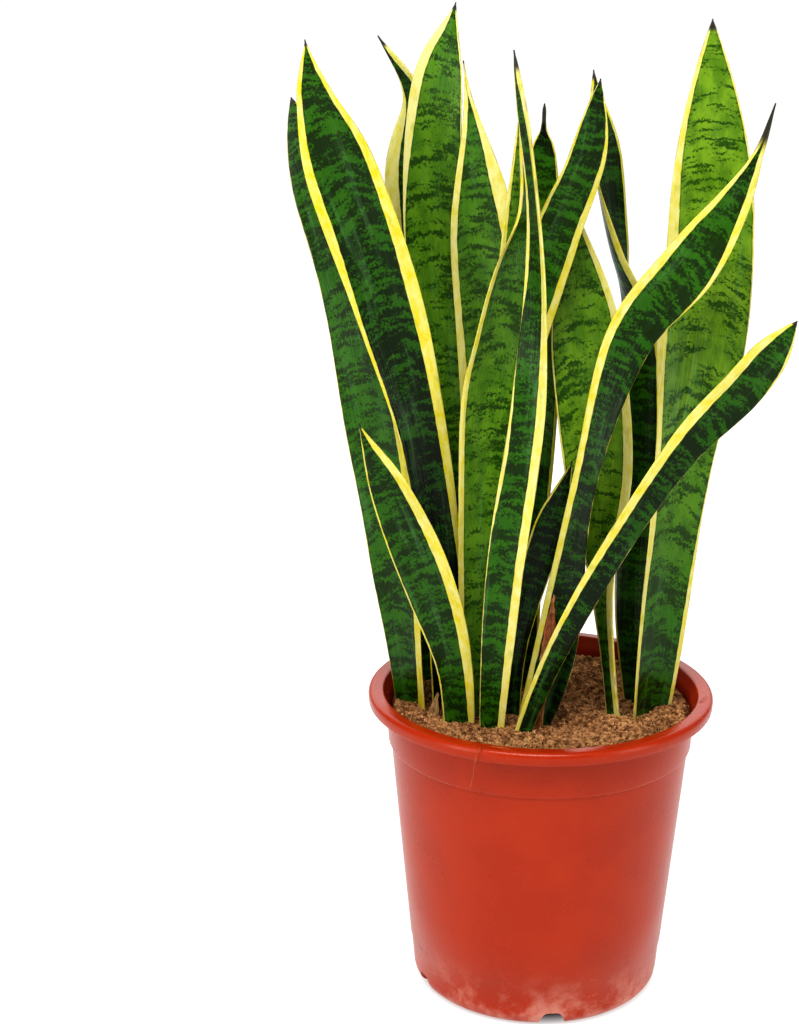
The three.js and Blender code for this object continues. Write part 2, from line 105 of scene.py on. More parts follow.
def pot_profile():
    """Section of the pot from the middle of its pad, out and up, and back down inside, in mm."""
    ledge_low = wall_radius(LEDGE_HEIGHT) - LEDGE_DEPTH
    slope_end = PAD_RADIUS + PAD_SLOPE
    # The underside: pad, raised floor and foot ring.
    outline = [(0, 0), (PAD_RADIUS, 0), (slope_end, FLOOR_HEIGHT), (FLOOR_RADIUS, FLOOR_HEIGHT)]
    outline += quarter((FLOOR_RADIUS, FLOOR_HEIGHT), (75.2, 8.6), "r", 3)
    outline += quarter((75.2, 8.6), (66.6, 1.8), "z", 5)
    outline += [(66.6, 0.4), (67.0, 0), (68.4, 0)]
    outline += quarter((68.4, 0), (76.6, FOOT_TOP), "r", 8)
    # The outside: stacking ledge, wall, collar, and the lip that hangs from the rolled rim.
    outline += [(ledge_low, LEDGE_HEIGHT - 0.4), (wall_radius(LEDGE_HEIGHT), LEDGE_HEIGHT + 0.4)]
    outline += [(wall_radius(z), z) for z in (60, 95, 130)]
    outline += [(90.9, COLLAR_FOOT - 0.3), (91.3, COLLAR_FOOT), (92.3, COLLAR_FOOT + 0.9)]
    outline += [(92.65, COLLAR_FOOT + 1.8), (93.5, 172), (94.1, LIP_FOOT - 1.2)]
    outline += [(94.3, 185.6), (95, 187), (96.4, 187.6), (102, 187.6), (103, 187), (103.3, 186)]
    outline += [(103.3, LIP_FOOT + 0.4), (103.6, LIP_FOOT), (104.4, LIP_FOOT)]
    outline += [(104.75, LIP_FOOT + 0.5), (RIM_RADIUS, 186.8)]
    outline += quarter((RIM_RADIUS, 186.8), (101.9, POT_HEIGHT), "z", 7)
    outline += [(99.4, 189.9), (97.2, POT_HEIGHT)]
    outline += quarter((97.2, POT_HEIGHT), (95.5, 188.4), "r", 4)
    # The inside: collar, wall, floor and pad.
    outline += [(93.4, 184.5), (92.4, LIP_FOOT - 1.4), (91.7, 172), (90.85, COLLAR_FOOT + 1.6)]
    outline += [(90.4, COLLAR_FOOT + 0.4), (89.3, COLLAR_FOOT - 0.8), (89.1, COLLAR_FOOT - 2)]
    outline += [(wall_radius(90) - WALL, 90), (wall_radius(16) - WALL, 16)]
    outline += quarter((wall_radius(16) - WALL, 16), (71.5, FLOOR_HEIGHT + WALL), "z", 5)
    outline += [(slope_end - 0.7, FLOOR_HEIGHT + WALL), (PAD_RADIUS - 0.7, WALL), (0, WALL)]
    return outline


def revolve(outline, sides):
    """A closed solid of revolution from a section whose first and last points are on the axis."""
    mesh = bmesh.new()
    turns = [2 * math.pi * j / sides for j in range(sides)]
    rings = []
    for r, z in outline:
        if r == 0:
            rings.append([mesh.verts.new((0, 0, z * MM))])
            continue
        rings.append([mesh.verts.new((r * MM * math.cos(a), r * MM * math.sin(a), z * MM))
                      for a in turns])
    for low, high in zip(rings, rings[1:]):
        for j in range(sides):
            a, b = low[j % len(low)], low[(j + 1) % len(low)]
            c, d = high[(j + 1) % len(high)], high[j % len(high)]
            mesh.faces.new(list(dict.fromkeys([a, b, c, d])))
    bmesh.ops.recalc_face_normals(mesh, faces=mesh.faces)
    return mesh


def object_of(mesh, name):
    """A new object at the origin from a bmesh."""
    data = bpy.data.meshes.new(name)
    mesh.to_mesh(data)
    mesh.free()
    made = bpy.data.objects.new(name, data)
    bpy.context.scene.collection.objects.link(made)
    return made


def prism(outline, depth, matrix):
    """A closed prism: an outline in its own x and z, in mm, drawn out along y from 0 to depth."""
    mesh = bmesh.new()
    front = [mesh.verts.new(matrix @ Vector((x * MM, 0, z * MM))) for x, z in outline]
    back = [mesh.verts.new(matrix @ Vector((x * MM, depth * MM, z * MM))) for x, z in outline]
    mesh.faces.new(front)
    mesh.faces.new(back[::-1])
    for i in range(len(outline)):
        j = (i + 1) % len(outline)
        mesh.faces.new([front[j], front[i], back[i], back[j]])
    bmesh.ops.recalc_face_normals(mesh, faces=mesh.faces)
    return mesh


def evaluated(thing):
    """The object's mesh with its modifiers in it, in place of the old mesh and the modifiers."""
    depsgraph = bpy.context.evaluated_depsgraph_get()
    made = bpy.data.meshes.new_from_object(thing.evaluated_get(depsgraph))
    thing.modifiers.clear()
    thing.data = made


def cut(thing, cutters):
    """Cuts closed solids out of an object."""
    for cutter in cutters:
        tool = object_of(cutter, "cutter")
        boolean = thing.modifiers.new("cut", "BOOLEAN")
        boolean.operation = "DIFFERENCE"
        boolean.solver = "EXACT"
        boolean.object = tool
        evaluated(thing)
        bpy.data.objects.remove(tool)


def notch_cutters():
    """Arched prisms through the foot ring, one for each drain notch."""
    arch = NOTCH_OUTLINE + [(-x, z) for x, z in reversed(NOTCH_OUTLINE)]
    outside = Matrix.Translation((0, -NOTCH_START * MM, 0))
    for k in range(NOTCH_COUNT):
        turn = Matrix.Rotation(math.radians(NOTCH_TURN + k * 360 / NOTCH_COUNT), 4, "Z")
        yield prism(arch, NOTCH_REACH, turn @ outside)


def drain_cutters():
    """Round plugs through the raised floor, one for each drain hole."""
    ring = [2 * math.pi * j / DRAIN_HOLE_SIDES for j in range(DRAIN_HOLE_SIDES)]
    circle = [(DRAIN_HOLE_RADIUS * math.cos(a), DRAIN_HOLE_RADIUS * math.sin(a)) for a in ring]
    upright = Matrix.Rotation(math.pi / 2, 4, "X")
    for k in range(DRAIN_HOLES):
        a = 2 * math.pi * k / DRAIN_HOLES
        place = Vector((DRAIN_HOLE_CIRCLE * math.sin(a), DRAIN_HOLE_CIRCLE * math.cos(a),
                        FLOOR_HEIGHT - DRAIN_PLUG_BELOW))
        yield prism(circle, DRAIN_PLUG_HEIGHT, Matrix.Translation(place * MM) @ upright)


def linear(red, green, blue):
    """An sRGB colour, 0 to 255 a channel, as the linear colour that the shaders take."""
    def channel(c):
        c /= 255
        return c / 12.92 if c <= 0.04045 else ((c + 0.055) / 1.055) ** 2.4
    return (channel(red), channel(green), channel(blue), 1.0)


def node(tree, kind, inputs=(), **settings):
    """A new node with its settings and inputs. An input is a value or another node's output."""
    made = tree.nodes.new(kind)
    for name, value in settings.items():
        setattr(made, name, value)
    for name, value in dict(inputs).items():
        if isinstance(value, bpy.types.NodeSocket):
            tree.links.new(value, made.inputs[name])
        else:
            made.inputs[name].default_value = value
    return made


def finish(name, **values):
    """A new material with one Principled shader. Values are its sockets, _ for a space."""
    material = bpy.data.materials.new(name)
    material.use_nodes = True
    tree = material.node_tree
    shader = tree.nodes["Principled BSDF"]
    for socket, value in values.items():
        shader.inputs[socket.replace("_", " ")].default_value = value
    return material, tree, shader


def math_of(tree, operation, a, b=0.0, c=0.0, clamp=False):
    """The output of one Math node."""
    made = node(tree, "ShaderNodeMath", {0: a, 1: b, 2: c}, operation=operation, use_clamp=clamp)
    return made.outputs[0]


def times(tree, a, b):
    return math_of(tree, "MULTIPLY", a, b)


def plus(tree, a, b):
    return math_of(tree, "ADD", a, b)


def mix(tree, share, a, b):
    """Colour a at share 0 and colour b at share 1."""
    return node(tree, "ShaderNodeMix", {0: share, 6: a, 7: b}, data_type="RGBA").outputs[2]


def step(tree, value, low, high):
    """0 where value is at low and 1 where it is at high, with soft ends."""
    inputs = {"Value": value, "From Min": low, "From Max": high}
    return node(tree, "ShaderNodeMapRange", inputs, interpolation_type="SMOOTHSTEP").outputs[0]


def grain(tree, vector, scale, detail, roughness=0.5):
    """A noise value around 0.5."""
    inputs = {"Vector": vector, "Scale": scale, "Detail": detail, "Roughness": roughness}
    return node(tree, "ShaderNodeTexNoise", inputs).outputs["Fac"]


def bump(tree, shader, height, distance):
    """Lets a height value raise the surface by a distance in metres."""
    made = node(tree, "ShaderNodeBump", {"Height": height, "Distance": distance, "Strength": 1.0})
    tree.links.new(made.outputs[0], shader.inputs["Normal"])


def pot_plastic():
    """Satin plastic, faintly mottled and speckled, with dust from the bench near the ground."""
    material, tree, shader = finish("pot_plastic", Specular_IOR_Level=0.4, IOR=1.49)
    place = node(tree, "ShaderNodeTexCoord").outputs["Object"]
    height = node(tree, "ShaderNodeSeparateXYZ", {0: place}).outputs["Z"]
    mottle = grain(tree, place, 28, 4)
    body = mix(tree, step(tree, mottle, 0.35, 0.68), linear(*POT_DEEP), linear(*POT_LIGHT))
    speck = step(tree, grain(tree, place, 900, 2), 0.62, 0.75)
    body = mix(tree, times(tree, speck, 0.2), body, linear(*POT_SPECK))

    # The dust is a broken pale film, with flat marks in it lower down.
    film = step(tree, grain(tree, place, 45, 6, 0.65), 0.42, 0.68)
    film = times(tree, film, step(tree, height, *FILM_HEIGHTS))
    flat = node(tree, "ShaderNodeMapping", {"Vector": place, "Scale": (1, 1, 5)}).outputs[0]
    marks = step(tree, grain(tree, flat, 60, 5, 0.7), 0.6, 0.74)
    marks = times(tree, marks, step(tree, height, *MARK_HEIGHTS))
    dust = times(tree, math_of(tree, "MAXIMUM", film, marks), 0.5)
    tree.links.new(mix(tree, dust, body, linear(*POT_DUST)), shader.inputs["Base Color"])

    rough = math_of(tree, "MULTIPLY_ADD", mottle, 0.12, 0.22)
    rough = plus(tree, rough, times(tree, dust, 0.5))
    tree.links.new(rough, shader.inputs["Roughness"])
    uneven = plus(tree, times(tree, grain(tree, place, 500, 3), 0.12), grain(tree, place, 14, 1))
    bump(tree, shader, uneven, POT_UNEVENNESS)
    return material


pot = object_of(revolve(pot_profile(), POT_SIDES), "pot_moulding")
cut(pot, notch_cutters())
cut(pot, drain_cutters())
pot.data.materials.append(pot_plastic())
pot.data.shade_smooth()
pot.data.set_sharp_from_angle(angle=math.radians(SHARP_ANGLE))
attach(pot, "root")
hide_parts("pot")

# ---------------------------------------------------------------- the soil
# Potting mix of brown coir and peat, a centimetre under the rim. It fills the pot down to the
# raised floor; its top is loose, with crumbs and short pale coir fibres lying on it.

SOIL_LEVEL = 179.0
SOIL_RADIUS = 90.2
SOIL_SIDES = 180
SOIL_RINGS = 46
SOIL_SECTION = [(22.9, 2.1), (32.9, 12.6), (70.8, 12.6), (76.4, 18), (88.2, 153),
                (SOIL_RADIUS, 160)]
HUMP_HEIGHT = 1.6
HUMP_SPREADS = (13, 15, 9)
LUMP_HEIGHT = 2.0
LUMP_SPREAD = 9
GRAIN_HEIGHT = 0.9
GRAIN_SPREAD = 2.6
STREWN_INSET = 1.5
CRUMBS = 330000.0
CRUMB_SIZE = 1.9
CRUMB_SMALLEST = 0.25
CRUMB_RAGGEDNESS = 0.0028
FIBRES = 62000.0
FIBRE_RADIUS = 5.5
FIBRE_SWEEP = 1.1
FIBRE_THICKNESS = 0.16
FIBRE_SMALLEST = 0.35
FIBRE_BEND = 0.004
SOIL_COLOURS = (66, 42, 24), (172, 126, 82)
CRUMB_COLOURS = (110, 72, 42), (222, 172, 122)
FIBRE_COLOURS = (150, 108, 62), (226, 194, 146)
SOIL_UNEVENNESS = 0.0012


def soil_height(x, y):
    """Height of the soil's top at a place, in mm: gentle humps with lumps and grains on them."""
    along_x, along_y, slanting = HUMP_SPREADS
    humps = math.sin(x / along_x + 1.3) * math.cos(y / along_y)
    humps += 0.6 * math.sin((x + y) / slanting + 0.5)
    lumps = noise.noise(Vector((x / LUMP_SPREAD, y / LUMP_SPREAD, 2.0)))
    grains = noise.noise(Vector((x / GRAIN_SPREAD, y / GRAIN_SPREAD, 7.0)))
    return SOIL_LEVEL + HUMP_HEIGHT * humps + LUMP_HEIGHT * lumps + GRAIN_HEIGHT * grains


def soil_rings(radius, section=()):
    """Rings of the soil up its section and in over its top to near the middle, in metres."""
    turns = [2 * math.pi * j / SOIL_SIDES for j in range(SOIL_SIDES)]
    rings = []
    for r, z in section:
        rings.append([Vector((r * math.cos(a), r * math.sin(a), z)) * MM for a in turns])
    for k in range(SOIL_RINGS, 0, -1):
        r = radius * k / SOIL_RINGS
        places = [(r * math.cos(a), r * math.sin(a)) for a in turns]
        rings.append([Vector((x, y, soil_height(x, y))) * MM for x, y in places])
    return rings


def walls(rings):
    """A mesh of quads between rings of points, and the rings' own vertices."""
    mesh = bmesh.new()
    rows = [[mesh.verts.new(p) for p in ring] for ring in rings]
    for low, high in zip(rows, rows[1:]):
        for j in range(len(low)):
            k = (j + 1) % len(low)
            mesh.faces.new([low[j], low[k], high[k], high[j]])
    return mesh, rows


def soil_skin(rings):
    """Walls between the soil's rings, closed at the last ring by a middle point."""
    mesh, rows = walls(rings)
    centre = mesh.verts.new(Vector((0, 0, soil_height(0, 0))) * MM)
    last = rows[-1]
    for j in range(len(last)):
        mesh.faces.new([last[j], last[(j + 1) % len(last)], centre])
    return mesh, rows


def soil_body():
    """The whole fill as a closed solid."""
    mesh, rows = soil_skin(soil_rings(SOIL_RADIUS, SOIL_SECTION))
    mesh.faces.new(rows[0][::-1])
    return object_of(mesh, "soil_fill")


def soil_top():
    """The surface on which the loose pieces lie, a little clear of the pot."""
    mesh, _ = soil_skin(soil_rings(SOIL_RADIUS - STREWN_INSET))
    return object_of(mesh, "soil_top")


def soil_colour(name, colours, scale):
    """Matte brown, mottled between a dark and a light colour."""
    material, tree, shader = finish(name, Roughness=0.95, Specular_IOR_Level=0.2)
    dark, light = linear(*colours[0]), linear(*colours[1])
    place = node(tree, "ShaderNodeTexCoord").outputs["Object"]
    lumps = step(tree, grain(tree, place, scale, 5, 0.65), 0.34, 0.66)
    broad = step(tree, grain(tree, place, 40, 2), 0.35, 0.65)
    deep = mix(tree, times(tree, broad, 0.35), mix(tree, lumps, dark, light), dark)
    tree.links.new(deep, shader.inputs["Base Color"])
    bump(tree, shader, grain(tree, place, 2 * scale, 4, 0.7), SOIL_UNEVENNESS)
    return material


def group_of(name, inputs):
    """An empty geometry tree with named inputs after its geometry: (name, socket type) pairs."""
    tree = bpy.data.node_groups.new(name, "GeometryNodeTree")
    tree.interface.new_socket("Geometry", in_out="INPUT", socket_type="NodeSocketGeometry")
    for label, kind in inputs:
        tree.interface.new_socket(label, in_out="INPUT", socket_type="NodeSocket" + kind)
    tree.interface.new_socket("Geometry", in_out="OUTPUT", socket_type="NodeSocketGeometry")
    return tree, tree.nodes.new("NodeGroupInput")


def grown(thing, tree, values, name):
    """Runs a geometry tree on an object and keeps what it makes as a plain mesh object."""
    modifier = thing.modifiers.new(name, "NODES")
    modifier.node_group = tree
    for item in tree.interface.items_tree:
        if item.in_out == "INPUT" and item.name in values:
            modifier[item.identifier] = values[item.name]
    evaluated(thing)
    thing.name = name
    return thing


def random_between(tree, low, high, seed, kind="FLOAT"):
    """A random value for each point, from low to high."""
    made = node(tree, "FunctionNodeRandomValue", data_type=kind)
    low_at, high_at, out_at = (0, 1, 0) if kind == "FLOAT_VECTOR" else (2, 3, 1)
    made.inputs[low_at].default_value = low
    made.inputs[high_at].default_value = high
    made.inputs["Seed"].default_value = seed
    return made.outputs[out_at]


def scatter(tree, entry, piece, seed, tilt, smallest):
    """Instances of a piece on the surface, turned and sized at random, as real geometry."""
    turned = random_between(tree, (-tilt, -tilt, 0), (tilt, tilt, 2 * math.pi), seed + 1,
                            "FLOAT_VECTOR")
    sized = random_between(tree, smallest, 1.0, seed + 2)
    points = node(tree, "GeometryNodeDistributePointsOnFaces",
                  {"Mesh": entry.outputs["Geometry"], "Density": entry.outputs["Density"],
                   "Seed": entry.outputs["Seed"]}).outputs["Points"]
    placed = node(tree, "GeometryNodeInstanceOnPoints",
                  {"Points": points, "Instance": piece, "Rotation": turned, "Scale": sized})
    return node(tree, "GeometryNodeRealizeInstances", {0: placed.outputs[0]}).outputs[0]


def strayed(tree, geometry, scale, centre, reach):
    """Shifts each point of a geometry by a noise of its place, so that no two pieces are alike."""
    place = node(tree, "GeometryNodeInputPosition").outputs[0]
    pull = node(tree, "ShaderNodeTexNoise", {"Vector": place, "Scale": scale, "Detail": 1.0})
    centred = node(tree, "ShaderNodeVectorMath", {0: pull.outputs["Color"], 1: centre},
                   operation="SUBTRACT")
    shift = node(tree, "ShaderNodeVectorMath", {0: centred.outputs[0], "Scale": reach},
                 operation="SCALE")
    return node(tree, "GeometryNodeSetPosition",
                {"Geometry": geometry, "Offset": shift.outputs[0]}).outputs[0]


def leave(tree, geometry, entry):
    """Ends a geometry tree with its material."""
    painted = node(tree, "GeometryNodeSetMaterial",
                   {"Geometry": geometry, "Material": entry.outputs["Material"]})
    tree.links.new(painted.outputs[0], tree.nodes.new("NodeGroupOutput").inputs[0])
    return tree


def crumb_tree():
    """Small irregular crumbs, each a few faces, strewn over the soil."""
    tree, entry = group_of("soil crumbs", [("Density", "Float"), ("Seed", "Int"), ("Size", "Float"),
                                           ("Material", "Material")])
    ball = node(tree, "GeometryNodeMeshIcoSphere",
                {"Radius": entry.outputs["Size"], "Subdivisions": 1})
    strewn = scatter(tree, entry, ball.outputs[0], 4, 3.0, CRUMB_SMALLEST)
    ragged = strayed(tree, strewn, 700.0, (0.5, 0.5, 0.5), CRUMB_RAGGEDNESS)
    return leave(tree, ragged, entry)


def fibre_tree():
    """Short bent coir fibres lying on the soil at all turns."""
    tree, entry = group_of("coir fibres", [("Density", "Float"), ("Seed", "Int"),
                                           ("Radius", "Float"), ("Thickness", "Float"),
                                           ("Material", "Material")])
    arc = node(tree, "GeometryNodeCurveArc",
               {"Resolution": 7, "Radius": entry.outputs["Radius"], "Sweep Angle": FIBRE_SWEEP},
               mode="RADIUS")
    tipped = node(tree, "GeometryNodeTransform",
                  {"Geometry": arc.outputs[0], "Rotation": (0.5, 0.2, 0)})
    ring = node(tree, "GeometryNodeCurvePrimitiveCircle",
                {"Resolution": 4, "Radius": entry.outputs["Thickness"]})
    tube = node(tree, "GeometryNodeCurveToMesh",
                {"Curve": tipped.outputs[0], "Profile Curve": ring.outputs[0], "Fill Caps": True})
    strewn = scatter(tree, entry, tube.outputs[0], 9, 0.5, FIBRE_SMALLEST)
    bent = strayed(tree, strewn, 160.0, (0.5, 0.5, 0.45), FIBRE_BEND)
    return leave(tree, bent, entry)


soil = soil_body()
soil.data.materials.append(soil_colour("potting_soil", SOIL_COLOURS, 300))
soil.data.shade_smooth()
crumbs = grown(soil_top(), crumb_tree(),
               {"Density": CRUMBS, "Seed": 3, "Size": CRUMB_SIZE * MM,
                "Material": soil_colour("soil_crumb", CRUMB_COLOURS, 260)}, "soil_crumbs")
fibres = grown(soil_top(), fibre_tree(),
               {"Density": FIBRES, "Seed": 8, "Radius": FIBRE_RADIUS * MM,
                "Thickness": FIBRE_THICKNESS * MM,
                "Material": soil_colour("coir_fibre", FIBRE_COLOURS, 120)}, "coir_fibres")
for piece in (soil, crumbs, fibres):
    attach(piece, "root")
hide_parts("soil")

# ---------------------------------------------------------------- the leaves
# Seventeen stiff, fleshy sword leaves, each grown in one piece from its buried foot to a dry awl.
# Dark bands run across the green, the margins are yellow, and the skin is waxy.

FOOT = 152.0
LEAF_SECTIONS = 190
LEAF_STRIPS = 22
RING_SPACING = 1.25
LEAF_THICK_FOOT = 4.6
LEAF_THICK_TIP = 2.2
MOST_THICKNESS = 0.7
MARGIN_THICKNESS = 1.1
EDGE_ROUNDING = 16
POINT_ROUNDING = 2.2
AWL_WIDTH = 2.2
AWL_POINT = 0.3
AWL_TAPER = 12
WAVE_HEIGHT = 1.1
WAVES = 3.3
WAVE_SHIFT = 40
WAVE_FULL_WIDTH = 20
SWELL = 0.5
SWELL_SPREAD = (34, 42, 30)
LOOK_AHEAD = 0.01
MARGIN_RUN_OUT = 16.0
MARGIN_RUN_OUT_CURVE = 0.7
MARGIN_LEAST = 0.12
MARGIN_MOST = 0.48
PATTERN_SHIFT = 900.0
BEAT = (1, 1, 1, 1.35)
BAND_BOW = 0.016
GREEN_DEEP = (30, 66, 6)
GREEN_MIDDLE = (60, 112, 14)
GREEN_PALE = (120, 154, 38)
GREEN_PATCH = (36, 88, 10)
BAND_DEEP = (3, 12, 1)
BAND_PALE = (46, 82, 10)
# Grey-green of the pale leaf streaks: partly wax bloom, partly a painted sheen.
WAX_AND_SHEEN_STREAK = (104, 148, 96)
MARGIN_SHADE = (10, 22, 2)
YELLOW_DEEP = (208, 194, 34)
YELLOW_PALE = (218, 212, 142)
YELLOW_FLECK = (176, 146, 20)
YELLOW_GREEN = (150, 160, 40)
RIM_BROWN = (132, 92, 30)
AWL_BROWN = (58, 56, 44)
LEAF_UNEVENNESS = 0.00035

